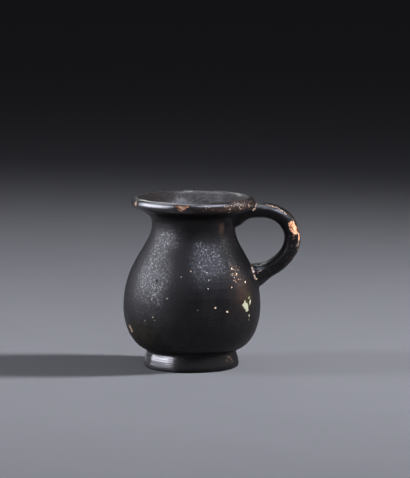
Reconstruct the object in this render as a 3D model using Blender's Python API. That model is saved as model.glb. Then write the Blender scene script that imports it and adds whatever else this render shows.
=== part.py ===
"""Miniature olpe: a small jug of black-glazed fired clay.

It has a thick flared lip, a pear-shaped body on a low disc foot, and one loop handle. Body, foot and
handle are one piece of clay, hollow and open at the mouth.

Metres, +Z up. The origin is the middle of the foot's flat underside, and the handle points to +X.
"""
import math

import bmesh
import bpy
from mathutils import Vector

# Heights, each measured from the one before it
FOOT_HEIGHT = 0.0067  # table to the foot's top edge
BELLY_RISE = 0.0203  # foot's top edge to the widest part of the body
SHOULDER_RISE = 0.0356  # widest part of the body to the narrowest part of the neck
MOUTH_RISE = 0.0124  # narrowest part of the neck to the top of the lip

# Radii
FOOT_RADIUS = 0.0208  # widest part of the foot, just above the table
BELLY_RADIUS = 0.0301
NECK_RADIUS = 0.0183
LIP_RADIUS = 0.0272

# Clay thickness
WALL = 0.0030
FLOOR = 0.0028  # clay above the foot's top edge, at the bottom of the hollow
LIP_THICKNESS = 0.0050

# Foot
FOOT_TAPER = 0.0007  # how much the foot's top edge draws in from its widest part
FOOT_LOWER_ROUND = 0.0010
FOOT_UPPER_ROUND = 0.0004
JUNCTION_DEPTH = 0.0009  # tooled groove where the body meets the foot
JUNCTION_HEIGHT = 0.0007
RING_RADIUS = 0.0135  # turned ring in the underside
RING_WIDTH = 0.0016
RING_DEPTH = 0.0005

# Handle
CREST_THICKNESS = 0.0052
LOOP_THICKNESS = 0.0066  # in the lower half of the loop
THICKENING = (0.32, 0.66)  # where the handle starts and stops thickening, as shares of its length
HANDLE_WIDTH = 0.0100
LOOP_OUTSET = 0.0196  # outside of the lip to the outside of the loop
CREST_OUTSET = 0.0024  # outside of the lip to the handle's crest
CREST_DROP = 0.0062  # top of the lip to the middle of the handle at its crest
LOOP_DROP = 0.0122  # middle of the crest to the loop's outermost point
UPPER_ROOT_RISE = 0.0017  # narrowest part of the neck to the middle of the upper root
LOWER_ROOT_DROP = 0.0229  # narrowest part of the neck to the middle of the lower root
UPPER_ROOT_THICKNESS = 0.0072
LOWER_ROOT_THICKNESS = 0.0109
ROOT_WIDTH = 0.0118
UPPER_FLARE = 0.0090  # stretch of the handle over which the upper root spreads
LOWER_FLARE = 0.0080
ROOT_SINK = 0.45 * WALL  # how far the root ends run into the wall
ROOT_SKIN = 0.25 * WALL  # clay that is always left between a root and the hollow

# Marks of the potter's hand
BODY_SHIFT = 0.0003  # the body stands off the middle of the foot, toward the handle
NECK_LEAN = 0.0006  # the neck and lip stand off the body, the same way
LEAN_RISE = 0.0120  # height below the neck over which it leans
LIP_SWELL = 0.0006  # how much the lip thickens downward at the handle

# Slopes
LOWER_SLOPE = math.radians(16)  # of the body where it leaves the foot
LIP_UNDER_SLOPE = math.radians(21)
MOUTH_SLOPE = math.radians(25)  # of the mouth just inside the lip
UPPER_ROOT_SLOPE = math.radians(42)
LOWER_ROOT_SLOPE = math.radians(20)

# Fullness of each curve: how far its two ends run on before they bend, as shares of its span
LOWER_CURVE = (0.42, 0.43)
UPPER_CURVE = (0.54, 0.29)
LIP_CURVE = (0.58, 0.90)
MOUTH_CURVE = (0.40, 0.50)
HOLLOW_LOWER_CURVE = (0.36, 0.50)
UPPER_ROOT_CURVE = (0.38, 0.45)
CREST_CURVE = (0.65, 0.45)
LOWER_ROOT_CURVE = (0.64, 0.26)
FLOOR_SHARE = 0.72  # flat floor of the hollow, as a share of the foot's radius

# Facets
TURNS = 64  # round the jug
HANDLE_SIDES = 16
HANDLE_SQUARENESS = 2.4  # 2 is an ellipse, more is a flatter strap
WELD = 0.000001

GLAZE_COLOUR = (0.012, 0.011, 0.012, 1.0)
GLAZE_ROUGHNESS = 0.3

JUNCTION_Z = FOOT_HEIGHT + JUNCTION_HEIGHT
BELLY_Z = FOOT_HEIGHT + BELLY_RISE
NECK_Z = BELLY_Z + SHOULDER_RISE
TOP_Z = NECK_Z + MOUTH_RISE
JUNCTION_RADIUS = FOOT_RADIUS - FOOT_TAPER - JUNCTION_DEPTH


def clear_scene():
    for item in list(bpy.context.scene.objects):
        bpy.data.objects.remove(item, do_unlink=True)


def direction(angle):
    return Vector((math.cos(angle), math.sin(angle)))


def arc(centre, radius, start, stop, steps):
    """Points of a circular arc in the profile's (radius, height) plane, both ends included."""
    span = stop - start
    return [centre + radius * direction(start + span * i / steps) for i in range(steps + 1)]


def curve(start, leave, arrive, stop, steps):
    """Points of a cubic curve from start to stop, both ends included."""
    points = []
    for i in range(steps + 1):
        t = i / steps
        u = 1 - t
        points.append(u**3 * start + 3 * u * u * t * leave + 3 * u * t * t * arrive + t**3 * stop)
    return points


def smooth_step(share):
    share = min(max(share, 0.0), 1.0)
    return share * share * (3 - 2 * share)


def foot_profile():
    """Underside from the middle outward, then up the side of the foot and into the junction groove."""
    half = RING_WIDTH / 2
    ring = [
        Vector((RING_RADIUS - half, 0)),
        Vector((RING_RADIUS - half / 2, RING_DEPTH)),
        Vector((RING_RADIUS + half / 2, RING_DEPTH)),
        Vector((RING_RADIUS + half, 0)),
    ]
    down, level, up = -math.pi / 2, 0, math.pi / 2
    lower_middle = Vector((FOOT_RADIUS - FOOT_LOWER_ROUND, FOOT_LOWER_ROUND))
    upper_middle = Vector((FOOT_RADIUS - FOOT_TAPER - FOOT_UPPER_ROUND, FOOT_HEIGHT - FOOT_UPPER_ROUND))
    return (
        [Vector((0, 0))]
        + ring
        + arc(lower_middle, FOOT_LOWER_ROUND, down, level, 3)
        + arc(upper_middle, FOOT_UPPER_ROUND, level, up, 2)
        + [Vector((JUNCTION_RADIUS, FOOT_HEIGHT)), Vector((JUNCTION_RADIUS, JUNCTION_Z))]
    )


def lower_wall(radius, start, slope, shares, steps):
    """Wall from the foot out to the belly, which is widest at the given radius."""
    rise = BELLY_Z - start.y
    leave = start + shares[0] * rise * direction(slope)
    arrive = Vector((radius, BELLY_Z - shares[1] * rise))
    return curve(start, leave, arrive, Vector((radius, BELLY_Z)), steps)


def upper_wall(belly_radius, neck_radius, steps):
    """Wall from the belly up and in to the neck."""
    leave = Vector((belly_radius, BELLY_Z + UPPER_CURVE[0] * SHOULDER_RISE))
    arrive = Vector((neck_radius, NECK_Z - UPPER_CURVE[1] * SHOULDER_RISE))
    return curve(Vector((belly_radius, BELLY_Z)), leave, arrive, Vector((neck_radius, NECK_Z)), steps)


def body_profile():
    """Outside of the body, from the junction groove up to the neck."""
    start = Vector((JUNCTION_RADIUS, JUNCTION_Z))
    return (
        lower_wall(BELLY_RADIUS, start, LOWER_SLOPE, LOWER_CURVE, 8)
        + upper_wall(BELLY_RADIUS, NECK_RADIUS, 9)[1:]
    )


def lip_profile():
    """Flare from the neck, then round the lip to where the mouth slopes in."""
    half = LIP_THICKNESS / 2
    middle = Vector((LIP_RADIUS - half, TOP_Z - half))
    bead = arc(middle, half, LIP_UNDER_SLOPE - math.pi / 2, MOUTH_SLOPE + math.pi / 2, 9)
    neck = Vector((NECK_RADIUS, NECK_Z))
    leave = Vector((NECK_RADIUS, NECK_Z + LIP_CURVE[0] * (bead[0].y - NECK_Z)))
    arrive = bead[0] - LIP_CURVE[1] * (bead[0].x - NECK_RADIUS) * direction(LIP_UNDER_SLOPE)
    return curve(neck, leave, arrive, bead[0], 7) + bead[1:]


def hollow_profile():
    """Inside of the jug, from the lip down the mouth and the wall to the middle of the floor."""
    lip = lip_profile()[-1]
    throat = Vector((NECK_RADIUS - WALL, NECK_Z))
    leave = lip - MOUTH_CURVE[0] * (lip.x - throat.x) * direction(MOUTH_SLOPE)
    arrive = Vector((throat.x, NECK_Z + MOUTH_CURVE[1] * (lip.y - NECK_Z)))
    mouth = curve(lip, leave, arrive, throat, 7)
    floor = Vector((0, FOOT_HEIGHT + FLOOR))
    floor_edge = floor + Vector((FLOOR_SHARE * FOOT_RADIUS, 0))
    wall = (
        lower_wall(BELLY_RADIUS - WALL, floor_edge, LOWER_SLOPE / 2, HOLLOW_LOWER_CURVE, 6)
        + upper_wall(BELLY_RADIUS - WALL, NECK_RADIUS - WALL, 7)[1:]
    )
    return mouth + wall[-2::-1] + [floor]


def lean_at(height):
    """How far the jug's middle line has moved toward the handle at a height."""
    above_foot = smooth_step((height - FOOT_HEIGHT) / JUNCTION_HEIGHT)
    up_neck = smooth_step(1 + (height - NECK_Z) / LEAN_RISE)
    return BODY_SHIFT * above_foot + NECK_LEAN * up_neck


def hand_work(point):
    """The same point of the jug after the potter's hand: a leaning neck and an uneven lip."""
    reach = math.hypot(point.x, point.y)
    toward_handle = 0.5 + 0.5 * point.x / max(reach, WELD)
    under_lip = smooth_step((reach - NECK_RADIUS) / (LIP_RADIUS - NECK_RADIUS))
    above_neck = max(0.0, (point.z - NECK_Z) / MOUTH_RISE)
    below_top = max(0.0, (TOP_Z - point.z) / LIP_THICKNESS)
    swell = LIP_SWELL * toward_handle * under_lip * smooth_step(above_neck * 2) * smooth_step(below_top)
    return Vector((point.x + lean_at(point.z), point.y, point.z - swell))


def body_radius(height):
    """Radius of the body's outside at a height."""
    outline = body_profile()
    for below, above in zip(outline, outline[1:]):
        if below.y <= height <= above.y:
            share = (height - below.y) / (above.y - below.y)
            return below.x + share * (above.x - below.x)
    return outline[-1].x


def handle_route():
    """Middle line of the handle, from the neck over the crest and down to the shoulder, in (x, z)."""
    neck = Vector((NECK_RADIUS + lean_at(NECK_Z) - ROOT_SINK, NECK_Z + UPPER_ROOT_RISE))
    lip_x = LIP_RADIUS + lean_at(TOP_Z)
    crest = Vector((lip_x + CREST_OUTSET, TOP_Z - CREST_DROP))
    outermost = Vector((lip_x + LOOP_OUTSET - LOOP_THICKNESS / 2, crest.y - LOOP_DROP))
    root_z = NECK_Z - LOWER_ROOT_DROP
    shoulder = Vector((body_radius(root_z) + lean_at(root_z) - ROOT_SINK, root_z))

    first_span = crest.x - neck.x
    first = curve(
        neck,
        neck + UPPER_ROOT_CURVE[0] * first_span * direction(UPPER_ROOT_SLOPE),
        crest - UPPER_ROOT_CURVE[1] * first_span * direction(0),
        crest,
        7,
    )
    second = curve(
        crest,
        crest + CREST_CURVE[0] * (outermost.x - crest.x) * direction(0),
        outermost + CREST_CURVE[1] * (crest.y - outermost.y) * direction(math.pi / 2),
        outermost,
        8,
    )
    drop = outermost.y - shoulder.y
    third = curve(
        outermost,
        outermost - LOWER_ROOT_CURVE[0] * drop * direction(math.pi / 2),
        shoulder + LOWER_ROOT_CURVE[1] * drop * direction(LOWER_ROOT_SLOPE),
        shoulder,
        11,
    )
    return first + second[1:] + third[1:]


def handle_section(from_neck, from_shoulder):
    """Thickness and width of the handle at its distances from its two ends."""
    upper = 1 - smooth_step(from_neck / UPPER_FLARE)
    lower = 1 - smooth_step(from_shoulder / LOWER_FLARE)
    share = from_neck / (from_neck + from_shoulder)
    thickened = smooth_step((share - THICKENING[0]) / (THICKENING[1] - THICKENING[0]))
    thickness = CREST_THICKNESS + thickened * (LOOP_THICKNESS - CREST_THICKNESS)
    thickness += upper * (UPPER_ROOT_THICKNESS - CREST_THICKNESS)
    thickness += lower * (LOWER_ROOT_THICKNESS - LOOP_THICKNESS)
    width = HANDLE_WIDTH + max(upper, lower) * (ROOT_WIDTH - HANDLE_WIDTH)
    return thickness, width


def oval(middle, tangent, thickness, width):
    """Ring of points round the handle's middle line, square to it."""
    normal = Vector((-tangent.y, tangent.x))
    ring = []
    for i in range(HANDLE_SIDES):
        angle = 2 * math.pi * i / HANDLE_SIDES
        across = math.copysign(abs(math.cos(angle)) ** (2 / HANDLE_SQUARENESS), math.cos(angle))
        out = math.copysign(abs(math.sin(angle)) ** (2 / HANDLE_SQUARENESS), math.sin(angle))
        place = middle + normal * out * thickness / 2
        ring.append(Vector((place.x, across * width / 2, place.y)))
    return ring


def finish_mesh(work, name):
    bmesh.ops.recalc_face_normals(work, faces=work.faces)
    mesh = bpy.data.meshes.new(name)
    work.to_mesh(mesh)
    work.free()
    mesh.shade_smooth()
    mesh.set_sharp_from_angle(angle=math.radians(35))
    item = bpy.data.objects.new(name, mesh)
    bpy.context.scene.collection.objects.link(item)
    return item


def turned(profile, name):
    """A closed form turned round the middle line, then given the marks of the hand."""
    work = bmesh.new()
    points = [work.verts.new((spot.x, 0, spot.y)) for spot in profile]
    edges = [work.edges.new(pair) for pair in zip(points, points[1:])]
    bmesh.ops.spin(
        work,
        geom=points + edges,
        cent=(0, 0, 0),
        axis=(0, 0, 1),
        angle=2 * math.pi,
        steps=TURNS,
        use_merge=True,
    )
    bmesh.ops.remove_doubles(work, verts=work.verts, dist=WELD)
    for point in work.verts:
        point.co = hand_work(point.co)
    return finish_mesh(work, name)


def make_jug():
    """Body, foot and lip, with the hollow inside."""
    outside = foot_profile() + body_profile()[1:] + lip_profile()[1:]
    return turned(outside + hollow_profile()[1:], "olpe")


def make_root_stop():
    """The hollow with a skin of clay round it, filled up past the lip: no root reaches into it."""
    skin = Vector((ROOT_SKIN, 0))
    inside = [point + skin for point in hollow_profile()[:-1]]
    floor = Vector((0, inside[-1].y))
    above = Vector((0, TOP_Z + LIP_THICKNESS))
    return turned([above, above + Vector((inside[0].x, 0))] + inside + [floor], "root_stop")


def make_handle():
    """Handle as a strap skinned along its middle line, closed at both ends."""
    route = handle_route()
    lengths = [0.0]
    for before, after in zip(route, route[1:]):
        lengths.append(lengths[-1] + (after - before).length)
    work = bmesh.new()
    rings = []
    tangents = [(after - before).normalized() for before, after in zip(route, route[2:])]
    tangents = [direction(0)] + tangents + [-direction(LOWER_ROOT_SLOPE)]
    for middle, tangent, length in zip(route, tangents, lengths):
        thickness, width = handle_section(length, lengths[-1] - length)
        rings.append([work.verts.new(spot) for spot in oval(middle, tangent, thickness, width)])
    for ring, onward in zip(rings, rings[1:]):
        for side in range(HANDLE_SIDES):
            after = (side + 1) % HANDLE_SIDES
            work.faces.new((ring[side], ring[after], onward[after], onward[side]))
    work.faces.new(rings[0])
    work.faces.new(rings[-1])
    return finish_mesh(work, "handle_form")


def black_glaze():
    material = bpy.data.materials.new("black_glazed_clay")
    material.use_nodes = True
    shader = material.node_tree.nodes["Principled BSDF"]
    shader.inputs["Base Color"].default_value = GLAZE_COLOUR
    shader.inputs["Roughness"].default_value = GLAZE_ROUGHNESS
    shader.inputs["Metallic"].default_value = 0.0
    return material


def combine(item, operation, form):
    """Cut a form from an item or join it on. The form is only a guide and isn't part of the model."""
    form.hide_render = True
    form.display_type = "WIRE"
    step = item.modifiers.new(form.name, "BOOLEAN")
    step.operation = operation
    step.solver = "EXACT"
    step.object = form


clear_scene()
glaze = black_glaze()
olpe = make_jug()
handle_form = make_handle()
for form in (olpe, handle_form):
    form.data.materials.append(glaze)
combine(handle_form, "DIFFERENCE", make_root_stop())
combine(olpe, "UNION", handle_form)
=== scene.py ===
import math

import bmesh
import bpy
import numpy as np
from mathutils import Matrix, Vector, noise
from mathutils.kdtree import KDTree


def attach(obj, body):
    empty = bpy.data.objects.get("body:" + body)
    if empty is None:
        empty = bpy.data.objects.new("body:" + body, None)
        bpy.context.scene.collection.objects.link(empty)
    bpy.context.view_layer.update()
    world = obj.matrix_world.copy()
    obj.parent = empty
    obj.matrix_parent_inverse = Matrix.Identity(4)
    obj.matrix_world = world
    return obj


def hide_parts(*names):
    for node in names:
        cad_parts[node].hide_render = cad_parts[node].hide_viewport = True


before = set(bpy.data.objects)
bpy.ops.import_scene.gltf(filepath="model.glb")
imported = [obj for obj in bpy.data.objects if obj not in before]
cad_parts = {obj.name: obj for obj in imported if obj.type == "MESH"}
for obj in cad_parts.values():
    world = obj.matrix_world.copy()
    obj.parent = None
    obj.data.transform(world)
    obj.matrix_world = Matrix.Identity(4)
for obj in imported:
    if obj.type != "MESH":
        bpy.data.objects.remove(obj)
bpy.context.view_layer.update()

# Lengths on the jug are in millimetres until a mesh is handed over, and those of the studio are in metres.
# A turn is in degrees round the jug: 0 is the front, 90 the handle's side and -90 the left.
MM = 0.001

# The jug's sizes, as it was modelled.
FOOT_TOP = 6.7
FOOT_MIDDLE = 3.4
JUNCTION_HEIGHT = 0.7
NECK_HEIGHT = 62.6
NECK_RADIUS = 18.3
LIP_TOP = 75.0
LIP_CREST = 73.7
LIP_RADIUS = 27.2
LIP_THICKNESS = 5.0
HANDLE_SIDE = -4.6  # y of the handle's near side

# How far the body and the neck stand off the foot's middle, and how much the lip sags by the handle.
BODY_SHIFT = 0.3
NECK_LEAN = 0.6
LEAN_RISE = 12.0
LIP_SWELL = 0.6

# The mesh of the fired clay. A point up to SNAP_NEAR from the turned outline is on the turned body, and
# one past SNAP_FAR is on the handle.
CLAY_STEP = 0.64
OUTLINE_STEP = 0.05
SNAP_NEAR = 0.35
SNAP_FAR = 0.85
SAME_PLACE = 0.001
LONGEST_BEND = 1.5  # how long a bend of the outline may be, in lengths of the step beside it
SMOOTHING = 0.5
SMOOTHING_BACK = 0.53  # a little more than SMOOTHING, so that the clay keeps its size


def smooth_step(share):
    """0 below 0 and 1 above 1, with a soft change between them."""
    share = np.clip(share, 0.0, 1.0)
    return share * share * (3.0 - 2.0 * share)


def rising(values, start, span):
    """0 where the values are below start, and 1 from a span above it."""
    return smooth_step((values - start) / span)


def falling(values, stop, span):
    """0 where the values are above stop, and 1 from a span below it."""
    return smooth_step((stop - values) / span)


def lean_at(height):
    """How far the jug's middle line stands toward the handle at a height."""
    above_foot = rising(height, FOOT_TOP, JUNCTION_HEIGHT)
    up_neck = smooth_step(1.0 + (height - NECK_HEIGHT) / LEAN_RISE)
    return BODY_SHIFT * above_foot + NECK_LEAN * up_neck


def lip_sag(x, y, height):
    """How far the lip has sunk at a place, most beside the handle."""
    reach = np.maximum(np.hypot(x, y), SAME_PLACE)
    toward_handle = 0.5 + 0.5 * x / reach
    under_lip = rising(reach, NECK_RADIUS, LIP_RADIUS - NECK_RADIUS)
    above_neck = rising(height, NECK_HEIGHT, (LIP_TOP - NECK_HEIGHT) / 2.0)
    below_top = falling(height, LIP_TOP, LIP_THICKNESS)
    return LIP_SWELL * toward_handle * under_lip * above_neck * below_top


def wander(places, size, seed):
    """A soft random value from -1 to 1 at each place, which changes over about this size."""
    shift = Vector((seed * 7.3 + 0.37, seed * 3.1 + 0.19, seed * 5.7 + 0.71))
    return np.array([noise.noise(Vector(p) + shift) for p in (places / size).tolist()])


def packed_jug():
    """The jug as it was packed, as one closed mesh."""
    form = bmesh.new()
    form.from_mesh(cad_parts["olpe"].data)
    bmesh.ops.remove_doubles(form, verts=form.verts, dist=SAME_PLACE * MM)
    mesh = bpy.data.meshes.new("packed_jug")
    form.to_mesh(mesh)
    form.free()
    return mesh


def turned_outline(mesh):
    """The outline that the jug was turned to, as (radius, height) from the underside to the floor inside.

    It is read opposite the handle, where neither the handle nor the sag of the lip reaches.
    """
    spots = {v.index: v.co / MM for v in mesh.vertices}
    on_line = {i for i, p in spots.items() if abs(p.y) < SAME_PLACE and p.x < 0.0}
    beside = {i: [] for i in on_line}
    for edge in mesh.edges:
        first, second = edge.vertices
        if first in on_line and second in on_line:
            beside[first].append(second)
            beside[second].append(first)
    start = max((i for i in on_line if spots[i].z < SAME_PLACE), key=lambda i: spots[i].x)
    line = [start]
    while True:
        ahead = [i for i in beside[line[-1]] if i not in line]
        if not ahead:
            break
        line.append(ahead[0])
    heights = np.array([spots[i].z for i in line])
    radii = lean_at(heights) - np.array([spots[i].x for i in line])
    radii = np.concatenate(([0.0], radii, [0.0]))
    heights = np.concatenate(([heights[0]], heights, [heights[-1]]))
    return np.column_stack((radii, heights))


def tangent(step, span, beside):
    """The tangent of a line at a point, between a step of this span and the step beside it."""
    reach = max(np.linalg.norm(beside), SAME_PLACE)
    both = step / span * reach + beside / reach * span
    return both / (span + reach) * min(span, LONGEST_BEND * reach)


def fine_line(line, step):
    """A smooth line through the points of an outline, with a point every step."""
    before = np.vstack((line[:1], line[:-1]))
    after = np.vstack((line[1:], line[-1:]))
    fine = []
    for i in range(len(line) - 1):
        start, stop = line[i], line[i + 1]
        span = np.linalg.norm(stop - start)
        leave = tangent(stop - start, span, start - before[i])
        arrive = tangent(stop - start, span, after[i + 1] - stop)
        t = np.linspace(0.0, 1.0, max(2, int(span / step) + 1), endpoint=False)[:, None]
        fine.append(
            (2 * t**3 - 3 * t**2 + 1) * start
            + (t**3 - 2 * t**2 + t) * leave
            + (3 * t**2 - 2 * t**3) * stop
            + (t**3 - t**2) * arrive
        )
    return np.vstack(fine + [line[-1:]])


def tree_of(line):
    """The points of a line, ready to be searched for the nearest one."""
    tree = KDTree(len(line))
    for index, (radius, height) in enumerate(line):
        tree.insert((radius, height, 0.0), index)
    tree.balance()
    return tree


def remeshed(mesh):
    """The same form in small even faces."""
    blank = bpy.data.objects.new("blank", mesh)
    bpy.context.scene.collection.objects.link(blank)
    work = blank.modifiers.new("even_faces", "REMESH")
    work.mode = "VOXEL"
    work.voxel_size = CLAY_STEP * MM
    work.adaptivity = 0.0
    even = bpy.data.meshes.new_from_object(blank.evaluated_get(bpy.context.evaluated_depsgraph_get()))
    bpy.data.objects.remove(blank)
    return even


class Skin:
    """The points of a mesh in millimetres, with what is needed to smooth and move them."""

    def __init__(self, mesh):
        self.mesh = mesh
        count = len(mesh.vertices)
        flat = np.empty(count * 3)
        mesh.vertices.foreach_get("co", flat)
        self.points = flat.reshape(count, 3) / MM
        ends = np.empty(len(mesh.edges) * 2, dtype=np.int64)
        mesh.edges.foreach_get("vertices", ends)
        ends = ends.reshape(-1, 2)
        self.here = np.concatenate((ends[:, 0], ends[:, 1]))
        self.there = np.concatenate((ends[:, 1], ends[:, 0]))
        self.links = np.bincount(self.here, minlength=count)

    def spread(self, values):
        """The mean of each point's neighbours."""
        columns = values.reshape(len(values), -1).T
        means = [np.bincount(self.here, c[self.there], len(self.links)) / self.links for c in columns]
        return np.array(means).T.reshape(values.shape)

    def relax(self, share, rounds, keep_volume=True):
        """Smooths the points by a share of 0 to 1 at each point."""
        for _ in range(rounds):
            self.points += SMOOTHING * share[:, None] * (self.spread(self.points) - self.points)
            if keep_volume:
                self.points -= SMOOTHING_BACK * share[:, None] * (self.spread(self.points) - self.points)

    def outward(self):
        """The direction out of the clay at each point."""
        self.hand_over()
        flat = np.empty(len(self.points) * 3)
        self.mesh.vertex_normals.foreach_get("vector", flat)
        return flat.reshape(-1, 3)

    def hand_over(self):
        """Gives the mesh the points as they are now."""
        self.mesh.vertices.foreach_set("co", (self.points * MM).ravel())
        self.mesh.update()

    def paint(self, name, values):
        """Keeps a value of 0 to 1 for each point on the mesh, for the finish to read."""
        layer = self.mesh.attributes.new(name, "FLOAT", "POINT")
        layer.data.foreach_set("value", np.clip(values, 0.0, 1.0))


def true_up(skin, fine, tree):
    """Brings the body's points onto the turned outline, and tells how far each point was from it."""
    x, y, height = skin.points.T
    sag = lip_sag(x, y, height)
    sag = lip_sag(x - lean_at(height + sag), y, height + sag)
    height = height + sag
    x = x - lean_at(height)
    radius = np.maximum(np.hypot(x, y), SAME_PLACE)
    nearest = np.array([tree.find((r, h, 0.0))[1] for r, h in zip(radius, height)])
    target = fine[nearest]
    away = np.hypot(target[:, 0] - radius, target[:, 1] - height)
    share = 1.0 - rising(away, SNAP_NEAR, SNAP_FAR - SNAP_NEAR)
    new_radius = radius + share * (target[:, 0] - radius)
    new_height = height + share * (target[:, 1] - height)
    new_x = x / radius * new_radius
    new_y = y / radius * new_radius
    skin.points[:, 0] = new_x + lean_at(new_height)
    skin.points[:, 1] = new_y
    skin.points[:, 2] = new_height - lip_sag(new_x, new_y, new_height)
    return away


packed = packed_jug()
outline = fine_line(turned_outline(packed), OUTLINE_STEP)
outline_top = int(np.argmax(outline[:, 1]))
outside_line = outline[:outline_top]
inside_line = outline[outline_top:]

FIRST_ROUNDS = 2
clay = Skin(remeshed(packed))
clay.relax(np.ones(len(clay.points)), FIRST_ROUNDS)
off_body = true_up(clay, outline, tree_of(outline))

# The handle is rolled clay: it loses its flat sides, and its two roots are wiped into the body.
HANDLE_ROUNDS = 30
ROOT_ROUNDS = 8
ROOT_MARGIN = 4  # how many points the wiping reaches past the handle
ROOT_END = 3.0  # from the turned outline to where the wiping ends on the handle
ROOT_BLEND = 2.0

on_handle = rising(off_body, SNAP_NEAR, SNAP_FAR - SNAP_NEAR)
near_handle = on_handle.copy()
for _ in range(ROOT_MARGIN):
    near_handle = np.maximum(near_handle, clay.spread(near_handle))
near_root = near_handle * falling(off_body, ROOT_END, ROOT_BLEND)
clay.relax(on_handle, HANDLE_ROUNDS)
clay.relax(near_root, ROOT_ROUNDS, keep_volume=False)

# Where each point is. The places follow the points as they move, and the other values stay as they are here.
FLOOR_INSIDE = 8.0
FLOOR_BLEND = 2.0
FACING_BLEND = 6.0
ROUGH_EDGE = 0.45
SOFT_EDGE = 0.45
PATCH_DEPTH = 1.5
SAME_HEIGHT = 0.15

points = clay.points
x, y, z = points.T
turn = np.degrees(np.arctan2(x - lean_at(z), -y))
middle_distance = np.hypot(x - lean_at(z), y)
outward = clay.outward()
facing_up = outward[:, 2]
facing_middle = 1.0 - smooth_step((outward[:, 0] * x + outward[:, 1] * y) / FACING_BLEND + 0.5)
on_wall = 1.0 - on_handle
inside = rising(z, FLOOR_INSIDE, FLOOR_BLEND) * facing_middle * on_wall
ragged = 0.65 * wander(points, 1.4, 1.0) + 0.35 * wander(points, 0.7, 2.0)


def radius_at(height, line):
    """The largest radius of a line at a height."""
    near = np.abs(line[:, 1] - height) < SAME_HEIGHT
    return float(line[near, 0].max())


def on_jug(turn, height, line=outside_line):
    """The place on the turned wall at a turn and a height."""
    angle = math.radians(turn)
    radius = radius_at(height, line)
    return np.array((radius * math.sin(angle) + float(lean_at(height)), -radius * math.cos(angle), height))


def patch(middle, turn, half_width, half_height, tilt, rough_edge, soft_edge):
    """1 inside an oval patch of the surface and 0 outside it.

    Its edge is as ragged and as soft as the last two values say, as shares of the patch.
    """
    angle, slope = math.radians(turn), math.radians(tilt)
    around = np.array((math.cos(angle), math.sin(angle), 0.0))
    out = np.array((math.sin(angle), -math.cos(angle), 0.0))
    offset = points - middle
    across = offset @ around
    along = offset[:, 2]
    across, along = (
        across * math.cos(slope) + along * math.sin(slope),
        along * math.cos(slope) - across * math.sin(slope),
    )
    depth = (offset @ out) / max(half_width, half_height, PATCH_DEPTH)
    reach = np.sqrt((across / half_width) ** 2 + (along / half_height) ** 2 + depth**2)
    reach = reach + rough_edge * ragged
    return 1.0 - smooth_step((reach - 1.0 + soft_edge / 2.0) / soft_edge)


def wall_patch(
    turn, height, half_width, half_height, tilt=0.0,
    rough_edge=ROUGH_EDGE, soft_edge=SOFT_EDGE, line=outside_line,
):
    """A patch of the turned wall, round its place at a turn and a height."""
    return patch(on_jug(turn, height, line), turn, half_width, half_height, tilt, rough_edge, soft_edge)


def gather(patches):
    """The strongest of several patches at each point."""
    total = np.zeros(len(points))
    for values in patches:
        total = np.maximum(total, values)
    return total


# Bare clay on the body: turn, height, half width, half height and tilt of each worn place.
BARE_ON_JUG = (
    (-10.5, 73.0, 2.2, 0.9, 0),
    (-14.8, 73.8, 1.3, 0.45, 0),
    (-5.6, 73.6, 1.2, 0.4, 0),
    (-10.3, 72.2, 1.0, 0.6, 0),
    (-68.0, 73.0, 1.6, 0.9, 0),
    (-68.0, 18.0, 1.2, 1.5, 18),
)
# Bare clay on the handle's near side: x, height, half width, half height and tilt.
BARE_ON_HANDLE = (
    (43.7, 63.3, 1.3, 1.1, 20),
    (44.5, 61.6, 1.6, 1.9, 12),
    (45.4, 60.0, 1.1, 1.5, 12),
    (46.9, 57.6, 0.25, 2.4, 4),
)

bare = gather(
    [wall_patch(*place, rough_edge=0.3) for place in BARE_ON_JUG]
    + [patch((across, HANDLE_SIDE, up), 0.0, *size, 0.15, SOFT_EDGE) for across, up, *size in BARE_ON_HANDLE]
)

# Glaze worn through in small specks, with some pale dots among them that are painted glints: turn, height,
# half width, half height and how many there are.
# The handle has them all over, most on its outer half.
SPECKLED = (
    (46.0, 44.0, 4.5, 5.5, 0.8),
    (48.0, 36.0, 6.0, 6.0, 0.4),
    (52.0, 72.8, 16.0, 2.6, 1.0),
    (12.0, 72.4, 12.0, 1.6, 0.8),
    (56.0, 4.6, 4.5, 2.2, 0.9),
    (70.0, 50.0, 6.0, 12.0, 0.6),
)
SPECKLED_HANDLE = 0.8
OUTER_HANDLE = 40.0

speckled = SPECKLED_HANDLE * on_handle * (0.7 + 0.3 * rising(x, OUTER_HANDLE, 5.0))
for *place, share in SPECKLED:
    speckled = np.maximum(speckled, share * wall_patch(*place, rough_edge=0.3, soft_edge=0.9))

# Thin glaze, fired brown: turn, height, half width, half height and how brown.
THIN_GLAZE = (
    (52.0, 72.8, 16.0, 2.6, 0.34),
    (14.0, 71.8, 14.0, 1.2, 0.40),
    (42.3, 62.4, 1.6, 2.8, 0.60),
    (46.2, 44.0, 2.5, 5.0, 0.35),
    (49.5, 35.6, 3.2, 4.6, 0.34),
    (51.0, 34.5, 7.5, 9.5, 0.30),
)

brown = np.zeros(len(points))
for *place, share in THIN_GLAZE:
    brown = 1.0 - (1.0 - brown) * (1.0 - share * wall_patch(*place, rough_edge=0.15, soft_edge=1.6))

# Glaze fired olive, low on the left and round the crust.
low_left = wall_patch(-52.0, 17.0, 9.0, 5.5, rough_edge=0.2, soft_edge=1.3)
round_crust = wall_patch(56.0, 32.0, 2.5, 3.0)
olive = gather((low_left, round_crust))

# Where hands and use have kept the gloss: the lip, the top and the lower root of the handle, the left of
# the foot and a place inside the mouth.
LIP_BOTTOM = 69.5
LIP_INNER_RADIUS = 24.0
FOOT_EDGE = 6.4
THUMB_REST_HEIGHT = 58.0
LOWER_ROOT_REACH = 34.0
LOWER_ROOT_TOP = 50.0
CREST_GLOSS = 0.7
LEAST_GLOSS = 0.12

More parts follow.
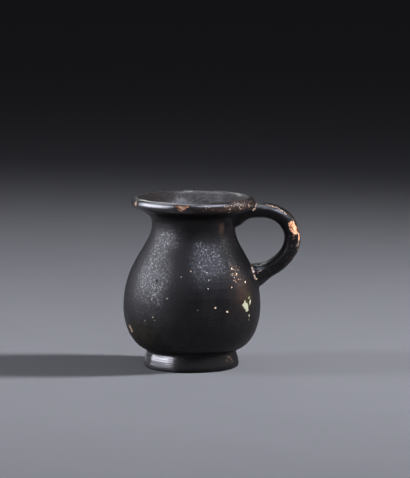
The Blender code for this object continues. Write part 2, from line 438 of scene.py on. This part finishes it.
on_lip = rising(z, LIP_BOTTOM, 1.5) * (1.0 - falling(middle_distance, LIP_INNER_RADIUS, 2.0))
lip_crest = 1.0 - rising(np.abs(z + lip_sag(x, y, z) - LIP_CREST), 0.3, 0.8)
on_left = falling(turn, 5.0, 10.0)
lip_gloss = on_lip * (on_left + (1.0 - on_left) * (LEAST_GLOSS + CREST_GLOSS * lip_crest))
on_foot = 1.0 - rising(z, FOOT_EDGE, 0.8)
foot_gloss = on_foot * rising(-turn, 14.0, 10.0)
thumb_rest = rising(facing_up, 0.45, 0.35) * rising(z, THUMB_REST_HEIGHT, 5.0)
lower_root = falling(x, LOWER_ROOT_REACH, 3.0) * falling(z, LOWER_ROOT_TOP, 3.0)
handle_gloss = on_handle * (LEAST_GLOSS + (1.0 - LEAST_GLOSS) * np.maximum(thumb_rest, lower_root))
mouth_gloss = wall_patch(-160.0, 69.5, 4.0, 2.6, rough_edge=0.4, soft_edge=1.2, line=inside_line)
polished = gather((lip_gloss, handle_gloss, foot_gloss, mouth_gloss))

# A crusted deposit from the ground, low on the right: turn, height, half width, half height and tilt.
DEPOSIT = (
    (51.6, 29.2, 1.5, 1.5, 0),
    (48.8, 29.8, 0.9, 0.8, 0),
    (50.2, 30.9, 0.6, 1.0, -10),
    (57.6, 30.6, 0.6, 1.3, -35),
    (53.0, 27.6, 1.3, 0.9, 0),
    (56.3, 24.8, 0.3, 0.8, 0),
    (55.8, 23.0, 0.2, 0.7, 0),
    (56.6, 32.6, 0.4, 0.5, 0),
)

deposit = gather(wall_patch(*place, rough_edge=0.3, soft_edge=0.3) for place in DEPOSIT)

# One pit on the left of the body, with a rim at its upper right.
pit = wall_patch(-32.4, 40.6, 0.45, 0.75, rough_edge=0.1, soft_edge=0.6)
pit_rim = wall_patch(-31.4, 41.3, 0.8, 1.1, tilt=-30, rough_edge=0.1, soft_edge=0.6)

# The clay's own relief: an uneven wall, faint rings from the wheel, a wavy lip, chips, the crust, a handle
# that is fuller on top and a foot that spreads toward the ground. These values are heights and depths.
UNEVEN = 0.11
DENTS = 0.05
WHEEL_MARKS = 0.028
LIP_WAVE = 0.16
CHIP_DEPTH = 0.28
CRUST = 0.16
PIT_RIM = 0.12
PIT_DEPTH = 0.5
HANDLE_SWELL = 0.40
TOP_SWELL = 0.70
FOOT_SPLAY = 0.30

# Where that relief starts, as heights, and how it is spread.
WAVE_START = 68.0
UPPER_HANDLE = 48.0
HANDLE_TOP = 60.0
GROUND_CLEARANCE = 0.4
RING_STRETCH = 0.03
SWELL_ROUNDS = 8

wheel_line = np.column_stack((x * RING_STRETCH, y * RING_STRETCH, z))
relief = UNEVEN * wander(points, 17.0, 3.0) + DENTS * wander(points, 5.5, 4.0)
relief += WHEEL_MARKS * on_wall * (wander(wheel_line, 1.5, 5.0) + 0.6 * wander(wheel_line, 0.8, 6.0))
relief += LIP_WAVE * rising(z, WAVE_START, 4.0) * on_wall * wander(points, 8.0, 7.0)
relief -= CHIP_DEPTH * bare * (0.75 + 0.5 * wander(points, 1.1, 8.0))
relief += CRUST * deposit * (0.8 + 0.5 * wander(points, 0.9, 9.0))
relief += PIT_RIM * pit_rim - PIT_DEPTH * pit
upper_handle = rising(z, UPPER_HANDLE, 6.0)
swell = HANDLE_SWELL * on_handle * (upper_handle + (1.0 - upper_handle) * rising(facing_up, 0.0, 0.4))
swell += TOP_SWELL * near_handle * rising(facing_up, 0.2, 0.5) * rising(z, HANDLE_TOP, 5.0)
for _ in range(SWELL_ROUNDS):
    swell = clay.spread(swell)
relief += swell
relief += FOOT_SPLAY * on_foot * (1.0 - z / FOOT_MIDDLE)
free_of_ground = rising(z, GROUND_CLEARANCE, 2.0)
clay.points += (relief * free_of_ground)[:, None] * outward

# The groove above the foot is wiped smooth.
GROOVE_REACH = 0.5
GROOVE_BLEND = 0.6
GROOVE_ROUNDS = 3
in_groove = 1.0 - rising(np.abs(z - FOOT_TOP), GROOVE_REACH, GROOVE_BLEND)
clay.relax(in_groove, GROOVE_ROUNDS, keep_volume=False)

# Thin pale lines, each with its width and the points that it runs through: the seam at the handle's lower
# root, partly wear and partly a painted highlight; a painted highlight along the top of the handle; wear
# down its outer edge; a painted highlight on the lower root; and the seam beside the lip, partly wear and
# partly a painted highlight.
WORN_AND_HIGHLIGHT_LINES = (
    (0.50, ((25.6, -0.2, 46.0), (26.3, -3.2, 44.2), (26.7, -4.8, 42.9), (27.8, -6.0, 39.2))),
    (0.50, ((33.0, -3.0, 70.8), (37.1, -3.3, 69.7), (39.6, -3.5, 68.4), (41.5, -3.8, 66.9))),
    (0.35, ((46.4, -3.9, 59.6), (46.9, -3.9, 56.3), (46.6, -4.0, 53.0))),
    (0.30, ((28.8, -5.4, 42.1), (31.0, -4.9, 43.2))),
    (0.35, ((28.8, -1.5, 71.9), (27.9, -4.5, 70.2), (26.4, -7.0, 68.6))),
)
LINE_STEP = 0.7

# Small pale chips and grit in the glaze: turn, height and size.
CHIPS = (
    (-35.4, 33.2, 0.45),
    (-20.9, 34.0, 0.40),
    (-10.1, 43.2, 0.35),
    (-0.8, 45.4, 0.40),
    (14.5, 44.9, 0.35),
    (15.8, 41.9, 0.40),
    (14.4, 38.2, 0.30),
    (42.9, 45.5, 0.55),
    (46.2, 43.1, 0.40),
    (56.0, 39.6, 0.45),
    (37.1, 38.2, 0.35),
    (31.1, 27.7, 0.55),
    (20.3, 29.9, 0.50),
    (4.8, 28.9, 0.35),
    (-33.9, 25.1, 0.50),
    (-32.0, 24.2, 0.40),
    (-43.1, 23.5, 0.40),
    (-69.0, 18.8, 1.40),
    (-67.0, 17.3, 1.10),
    (79.3, 39.1, 0.50),
    (-67.7, 73.2, 1.40),
    (-10.8, 73.3, 0.75),
    (-9.2, 72.7, 0.65),
    (-12.2, 73.1, 0.50),
)
CHIP_SHARE = 0.8  # of a chip's size that its middle takes up


def on_clay(place):
    """The mesh point nearest to a place."""
    return points[int(np.argmin(np.linalg.norm(points - place, axis=1)))]


worn_and_highlight_spots = []
for width, line in WORN_AND_HIGHLIGHT_LINES:
    for start, stop in zip(np.array(line), np.array(line[1:])):
        steps = max(1, round(float(np.linalg.norm(stop - start)) / LINE_STEP))
        worn_and_highlight_spots += [(on_clay(start + i / steps * (stop - start)), width) for i in range(steps)]
chip_spots = [(on_clay(on_jug(t, h)), CHIP_SHARE * size) for t, h, size in CHIPS]

# The underside stands flat.
FACING_DOWN = -0.9
UNDERSIDE_REACH = 0.5
underside = (facing_up < FACING_DOWN) & (z < UNDERSIDE_REACH)
clay.points[underside, 2] = 0.0
clay.points[:, 2] = np.maximum(clay.points[:, 2], 0.0)
clay.hand_over()

clay.paint("bare_clay", bare)
clay.paint("thin_glaze", brown)
clay.paint("olive_glaze", olive)
clay.paint("crust", deposit)
clay.paint("inside", inside)
clay.paint("polished", polished)
clay.paint("on_handle", on_handle)
clay.paint("on_foot", on_foot)
clay.paint("smooth_clay", np.maximum(0.8 * on_handle, np.maximum(on_foot, on_lip)))
clay.paint("speckled", speckled)
clay.mesh.polygons.foreach_set("use_smooth", np.ones(len(clay.mesh.polygons), dtype=bool))

jug = bpy.data.objects.new("olpe_fired_clay", clay.mesh)
bpy.context.scene.collection.objects.link(jug)

# How far a seed moves a pattern.
NOISE_SHIFT = (31.0, 17.0, 23.0)
SPECK_SHIFT = (13.0, 29.0, 7.0)


class Value:
    """A value of a finish. Arithmetic on it adds Math nodes."""

    def __init__(self, finish, socket):
        self.finish = finish
        self.socket = socket

    def math(self, operation, *terms):
        return self.finish.add("ShaderNodeMath", {"operation": operation}, dict(enumerate(terms)))

    def __add__(self, other):
        return self.math("ADD", self, other)

    def __radd__(self, other):
        return self.math("ADD", other, self)

    def __sub__(self, other):
        return self.math("SUBTRACT", self, other)

    def __rsub__(self, other):
        return self.math("SUBTRACT", other, self)

    def __mul__(self, other):
        return self.math("MULTIPLY", self, other)

    def __rmul__(self, other):
        return self.math("MULTIPLY", other, self)

    def or_more(self, other):
        """The larger of the two values."""
        return self.math("MAXIMUM", self, other)

    def rise(self, start, stop):
        """0 below start and 1 above stop, with a soft change between them."""
        limits = {"Value": self, "From Min": start, "From Max": stop}
        return self.finish.add("ShaderNodeMapRange", {"interpolation_type": "SMOOTHSTEP"}, limits)


class Finish:
    """A material that is built up from nodes."""

    def __init__(self, name):
        self.material = bpy.data.materials.new(name)
        self.material.use_nodes = True
        self.tree = self.material.node_tree
        self.surface = self.tree.nodes["Principled BSDF"]
        place = self.add("ShaderNodeTexCoord", {}, {}, "Object")
        self.place = self.vector("SCALE", {0: place, "Scale": 1 / MM})

    def add(self, kind, settings, inputs, output=0):
        """Adds a node, with its settings first, and gives one of its outputs."""
        node = self.tree.nodes.new(kind)
        for name, setting in settings.items():
            setattr(node, name, setting)
        for name, given in inputs.items():
            self.feed(node.inputs[name], given)
        return Value(self, node.outputs[output])

    def vector(self, operation, inputs, output=0):
        """Adds a Vector Math node."""
        return self.add("ShaderNodeVectorMath", {"operation": operation}, inputs, output)

    def feed(self, socket, given):
        """Links a socket to a value, or sets it to a number, a colour or a vector."""
        if isinstance(given, Value):
            self.tree.links.new(given.socket, socket)
        else:
            socket.default_value = given

    def dress(self, **inputs):
        """Sets the surface's inputs, whose names are given with _ for a space."""
        for name, given in inputs.items():
            self.feed(self.surface.inputs[name.replace("_", " ")], given)

    def shifted(self, place, shift, seed):
        """The place moved by a seed's share of a shift, so that no two patterns are alike."""
        return self.vector("ADD", {0: place, 1: tuple(seed * step for step in shift)})

    def noise(self, size, detail, stretch=None, seed=0.0):
        """A cloudy value of about 0 to 1 which changes over a size in millimetres."""
        place = self.place
        if stretch:
            place = self.vector("MULTIPLY", {0: place, 1: stretch})
        place = self.shifted(place, NOISE_SHIFT, seed)
        return self.add("ShaderNodeTexNoise", {}, {"Vector": place, "Scale": 1.0 / size, "Detail": detail})

    def specks(self, spacing, seed):
        """The distance to the nearest of many scattered points, in their mean spacing."""
        place = self.shifted(self.place, SPECK_SHIFT, seed)
        return self.add("ShaderNodeTexVoronoi", {}, {"Vector": place, "Scale": 1.0 / spacing}, "Distance")

    def painted(self, name):
        """What was painted on the mesh under this name."""
        return self.add("ShaderNodeAttribute", {"attribute_name": name}, {}, "Fac")

    def wobble(self, size):
        """A random offset of about -1 to 1 each way, which changes over a size in millimetres."""
        inputs = {"Vector": self.place, "Scale": 1.0 / size, "Detail": 1.0}
        three_ways = self.add("ShaderNodeTexNoise", {}, inputs, "Color")
        return self.vector("MULTIPLY_ADD", {0: three_ways, 1: (2.0,) * 3, 2: (-1.0,) * 3})

    def spot(self, middle, size, wobble):
        """1 at a small place on the surface, and 0 outside it, with a ragged edge."""
        place = self.vector("MULTIPLY_ADD", {0: wobble, 1: (size,) * 3, 2: self.place})
        reach = self.vector("DISTANCE", {0: place, 1: middle}, "Value")
        return 1.0 - reach.rise(0.6 * size, 1.2 * size)

    def spots(self, middles_and_sizes, wobble):
        """The sum of many small places."""
        total = 0.0
        for middle, size in middles_and_sizes:
            total = self.spot(tuple(middle), size, wobble) + total
        return total

    def mix(self, under, over, share):
        """One colour over another by a share of 0 to 1."""
        return self.add("ShaderNodeMix", {"data_type": "RGBA"}, {0: share, 6: under, 7: over}, 2)


def screen_colour(red, green, blue):
    """A colour for a shader from its red, green and blue as a screen shows them, from 0 to 255.

    A screen's brightness rises in a straight line up to 10.31 and by a power above it.
    """
    linear = [c / 3294.6 if c <= 10.31 else ((c / 255 + 0.055) / 1.055) ** 2.4 for c in (red, green, blue)]
    return (*linear, 1.0)


BLACK = screen_colour(6, 5, 6)
WARM_BLACK = screen_colour(12, 10, 10)
BROWN = screen_colour(46, 32, 26)
OLIVE = screen_colour(34, 29, 18)
MOUTH_GREY = screen_colour(34, 29, 28)
CLAY = screen_colour(190, 126, 90)
PALE_CLAY = screen_colour(222, 172, 142)
DARK_CLAY = screen_colour(84, 44, 30)
CRUST_COLOUR = screen_colour(128, 129, 112)
CRUST_EDGE = screen_colour(62, 60, 40)
FLECK = screen_colour(214, 190, 168)
SPECKLE = screen_colour(150, 116, 96)
PALE_FRECKLE_AND_GLINT = screen_colour(196, 174, 162)
PALE_WEAR_AND_HIGHLIGHT = screen_colour(176, 150, 136)

# Roughness of the skin under the gloss, and what changes it.
SKIN_ROUGHNESS = 0.54
FOOT_ROUGHNESS = 0.06
CLOUD_ROUGHNESS = 0.24
MOTTLE_ROUGHNESS = 0.12
BARE_ROUGHNESS = 0.4
SKIN_GLOSS = 0.22

# The gloss on top: how sharp it is, and how much of it is left where it was kept and where it glints.
COAT_ROUGHNESS = 0.18
COAT_IOR = 1.9
KEPT_GLOSS = 0.65
FOOT_GLOSS = 0.5
MOUTH_GLOSS = 0.35
BLISTER_GLINT = 0.26
CRYSTAL_GLINT = 0.32
GRAIN_GLINT = 0.06
STROKE_GLINT = 0.11

# Fine relief that is too small for the mesh, in millimetres.
GRAIN_RELIEF = 0.07
RING_RELIEF = 0.05
SPECKLE_RELIEF = 0.02
SPOT_RAGGEDNESS = 0.4


def black_glazed_clay():
    """Black gloss over orange clay: grainy, thin and brown in places, worn off at the edges, and with some
    highlights painted in as pale lines and dots.
    """
    glaze = Finish("black_glazed_clay")

    # Patterns, from the widest to the finest.
    clouds = glaze.noise(9.0, 3.0)
    mottle = glaze.noise(2.2, 3.0, seed=1.0)
    strokes = glaze.noise(1.8, 3.0, stretch=(1.0, 1.0, 3.0), seed=8.0)
    grain = glaze.noise(1.3, 2.0, seed=2.0)
    slits = glaze.noise(1.3, 2.0, stretch=(0.4, 0.4, 1.4), seed=12.0).rise(0.54, 0.60)
    dots = 1.0 - glaze.specks(1.3, seed=7.0).rise(0.14, 0.26)
    blisters = 1.0 - glaze.specks(1.0, seed=5.0).rise(0.10, 0.42)
    rings = glaze.noise(0.9, 2.0, stretch=(0.05, 0.05, 1.0), seed=4.0)
    crystals = glaze.noise(0.75, 3.0, seed=9.0).rise(0.55, 0.67)
    freckle_and_glint_dots = 1.0 - glaze.specks(0.75, seed=11.0).rise(0.16, 0.34)
    fine_grain = glaze.noise(0.6, 1.0, seed=3.0)

    # Where the marks are.
    on_handle = glaze.painted("on_handle")
    on_foot = glaze.painted("on_foot")
    in_mouth = glaze.painted("inside")
    smooth_clay = glaze.painted("smooth_clay")
    speckled = glaze.painted("speckled")
    bare_depth = glaze.painted("bare_clay") + (mottle - 0.5) * 0.3 + (fine_grain - 0.5) * 0.3
    bare_share = bare_depth.rise(0.36, 0.56)
    thin_share = glaze.painted("thin_glaze") + (mottle - 0.5) * 0.35
    crusted = glaze.painted("crust") + (fine_grain - 0.5) * 0.5
    crust_share = crusted.rise(0.48, 0.66)
    speckle = dots * (mottle + 0.45 * (speckled - 0.9)).rise(0.42, 0.50)
    freckle_and_glint = freckle_and_glint_dots * (mottle + 0.5 * (speckled - 1.0)).rise(0.42, 0.54)
    wobble = glaze.wobble(SPOT_RAGGEDNESS)
    chip_share = glaze.spots(chip_spots, wobble).rise(0.0, 1.0)
    wear_and_highlight_share = (glaze.spots(worn_and_highlight_spots, wobble) * fine_grain.rise(0.36, 0.5)).rise(0.1, 0.9)

    # The bare clay, and the glaze with everything that lies on it.
    clay_colour = glaze.mix(DARK_CLAY, CLAY, bare_depth.rise(0.5, 0.95) * fine_grain.rise(0.30, 0.44))
    clay_colour = glaze.mix(clay_colour, PALE_CLAY, (0.5 * grain + 0.5 * fine_grain).rise(0.46, 0.6))
    clay_colour = glaze.mix(clay_colour, DARK_CLAY, slits * 0.8)
    colour = glaze.mix(BLACK, WARM_BLACK, clouds.rise(0.4, 0.65))
    colour = glaze.mix(colour, BROWN, thin_share.rise(0.0, 1.0))
    colour = glaze.mix(colour, OLIVE, glaze.painted("olive_glaze") * 0.8)
    colour = glaze.mix(colour, MOUTH_GREY, in_mouth * strokes.rise(0.35, 0.65))
    colour = glaze.mix(colour, SPECKLE, speckle * 0.85)
    # Pale freckles where the glaze is speckled: partly worn specks, partly painted glints.
    colour = glaze.mix(colour, PALE_FRECKLE_AND_GLINT, freckle_and_glint * 0.85)
    colour = glaze.mix(colour, clay_colour, bare_share)
    colour = glaze.mix(colour, FLECK, chip_share * 0.9)
    # Pale lines over the glaze: painted highlights on the handle's top and lower root, partly painted
    # highlights on the two seams, and wear on the handle's outer edge.
    colour = glaze.mix(colour, PALE_WEAR_AND_HIGHLIGHT, wear_and_highlight_share * 0.8)
    colour = glaze.mix(colour, CRUST_EDGE, crusted.rise(0.2, 0.4))
    colour = glaze.mix(colour, CRUST_COLOUR, crust_share)

    dull = bare_share.or_more(crust_share)
    uneven = CLOUD_ROUGHNESS * (clouds - 0.5)
    roughness = SKIN_ROUGHNESS + FOOT_ROUGHNESS * on_foot + uneven
    roughness = roughness + MOTTLE_ROUGHNESS * (mottle - 0.5) + dull * BARE_ROUGHNESS

    # The gloss where it was kept, less what speckles, streaks and rubbing have taken from it.
    rough_skin = 1.0 - 0.9 * smooth_clay
    worn_gloss = 1.0 - (0.75 * speckled) * fine_grain.rise(0.42, 0.56)
    streaks = 1.0 - on_foot * (0.75 - 0.75 * rings.rise(0.38, 0.56))
    rubbed = 1.0 - on_handle * (0.7 - 0.7 * mottle.rise(0.44, 0.56))
    kept = (KEPT_GLOSS + FOOT_GLOSS * on_foot + MOUTH_GLOSS * in_mouth) * glaze.painted("polished")
    kept = kept * rubbed * worn_gloss * streaks

    # Small glints elsewhere, on blisters, crystals, grain and the strokes inside the mouth.
    blister_glints = BLISTER_GLINT * blisters * mottle.rise(0.46, 0.60)
    glints = (blister_glints + CRYSTAL_GLINT * crystals) * (1.0 - smooth_clay)
    grain_glints = GRAIN_GLINT * grain * rough_skin
    stroke_glints = STROKE_GLINT * in_mouth * strokes.rise(0.4, 0.7)
    shine = (kept + glints + grain_glints + stroke_glints) * (1.0 - dull)

    height = (grain + blisters * 0.5 + fine_grain * 0.3) * GRAIN_RELIEF * rough_skin
    height = height + rings * RING_RELIEF * (1.0 - on_handle) - speckle * SPECKLE_RELIEF
    normal = glaze.add("ShaderNodeBump", {}, {"Height": height, "Distance": MM, "Strength": 1.0})
    glaze.dress(Base_Color=colour, Roughness=roughness, Normal=normal, Specular_IOR_Level=SKIN_GLOSS)
    glaze.dress(Coat_Weight=shine, Coat_Roughness=COAT_ROUGHNESS, Coat_IOR=COAT_IOR)
    return glaze.material


jug.data.materials.clear()
jug.data.materials.append(black_glazed_clay())
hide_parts("olpe")
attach(jug, "root")

# The studio: a pale floor, soft panels that show in the glaze, and three lights that light the floor and
# the bare clay, cast the soft shadows and don't show in the glaze.
FLOOR_SIDE = 8.0
FLOOR_COLOUR = screen_colour(108, 109, 115)
FLOOR_CLOUDS = screen_colour(112, 113, 119)
CLOUD_SIZE = 40.0
JUG_MIDDLE = Vector((0.0, 0.0, 0.035))
ALL_ROUND = 180.0
WHITE = (1.0, 1.0, 1.0)
COOL_WHITE = (0.88, 0.90, 1.0)
PALE_BLUE = (0.87, 0.87, 1.0)
BLUE = (0.78, 0.81, 1.0)


def floor():
    """A large pale sheet that the jug stands on."""
    mesh = bpy.data.meshes.new("floor")
    half = FLOOR_SIDE / 2
    corners = [(-half, -half, 0.0), (half, -half, 0.0), (half, half, 0.0), (-half, half, 0.0)]
    mesh.from_pydata(corners, [], [(0, 1, 2, 3)])
    sheet = bpy.data.objects.new("floor", mesh)
    bpy.context.scene.collection.objects.link(sheet)
    finish = Finish("pale_floor")
    finish.dress(Base_Color=finish.mix(FLOOR_COLOUR, FLOOR_CLOUDS, finish.noise(CLOUD_SIZE, 2.0)))
    finish.dress(Roughness=0.85, Specular_IOR_Level=0.1)
    sheet.data.materials.append(finish.material)


def soft_light(name, turn, height, distance, width, tall, glow, colour=WHITE, spread=ALL_ROUND):
    """A soft light that faces the jug from a turn and a height in degrees, with the same glow all over."""
    lamp = bpy.data.lights.new(name, "AREA")
    lamp.shape = "RECTANGLE"
    lamp.size = width
    lamp.size_y = tall
    half = math.radians(spread / 2.0)
    # A narrower light gathers its power, and this takes the gain back.
    gathered = 1.0 - half / math.tan(half) if spread < ALL_ROUND else 1.0
    lamp.energy = glow * math.pi * width * tall * gathered
    lamp.color = colour
    lamp.spread = 2.0 * half
    box = bpy.data.objects.new(name, lamp)
    bpy.context.scene.collection.objects.link(box)
    angle, rise = math.radians(turn), math.radians(height)
    away = Vector((math.sin(angle) * math.cos(rise), -math.cos(angle) * math.cos(rise), math.sin(rise)))
    box.location = away * distance + JUG_MIDDLE
    box.rotation_mode = "QUATERNION"
    box.rotation_quaternion = (-away).to_track_quat("-Z", "Y")
    box.visible_camera = False
    return box


def panel(*place_and_glow):
    """A light that shows in the glaze and leaves the floor alone."""
    soft_light(*place_and_glow).visible_diffuse = False


def floor_light(*place_and_glow, spread):
    """A light for the floor and the bare clay, which doesn't show in the glaze."""
    soft_light(*place_and_glow, spread=spread).visible_glossy = False


floor()

# Each light has its turn and height in degrees, its distance, width and height, its glow and its colour.
panel("left_panel", -84, 26, 0.80, 0.72, 0.44, 7.4, PALE_BLUE)
panel("left_panel_edge", -84, 25, 0.80, 1.10, 0.74, 4.6, PALE_BLUE)
panel("front_right_panel", 50, 50, 1.00, 0.74, 0.34, 5.4, BLUE)
panel("front_right_panel_edge", 46, 51, 1.00, 1.10, 0.62, 5.4, BLUE)
panel("right_panel", 100, 24, 0.90, 0.60, 0.40, 2.3)
panel("back_left_panel", -168, 30, 1.20, 0.30, 0.26, 5.0)
panel("top_panel", -140, 77, 0.95, 0.80, 1.00, 2.8, COOL_WHITE)
floor_light("right_floor_light", 90, 22, 2.00, 0.32, 0.32, 520.0, spread=40.0)
floor_light("left_floor_light", -84, 24, 2.00, 0.32, 0.32, 74.0, spread=44.0)
floor_light("front_fill_light", 10, 14, 1.00, 0.30, 0.30, 12.0, spread=60.0)

# Faint grey light from all round.
AIR = (0.03, 0.03, 0.033, 1.0)

world = bpy.data.worlds.new("studio_air")
world.use_nodes = True
air = world.node_tree.nodes["Background"]
air.inputs["Color"].default_value = AIR
air.inputs["Strength"].default_value = 1.0
bpy.context.scene.world = world
bpy.context.scene.view_settings.view_transform = "Standard"

# The camera: a long lens a little above the jug.
CAMERA_PLACE = (0.00604, -1.43612, 0.2402)
CAMERA_DOWN = 7.3
CAMERA_LENS = 248.54
CAMERA_SENSOR = 36.0

lens = bpy.data.cameras.new("camera")
lens.sensor_width = CAMERA_SENSOR
lens.lens = CAMERA_LENS
camera = bpy.data.objects.new("camera", lens)
bpy.context.scene.collection.objects.link(camera)
camera.location = CAMERA_PLACE
camera.rotation_euler = (math.radians(90.0 - CAMERA_DOWN), 0.0, 0.0)
bpy.context.scene.camera = camera
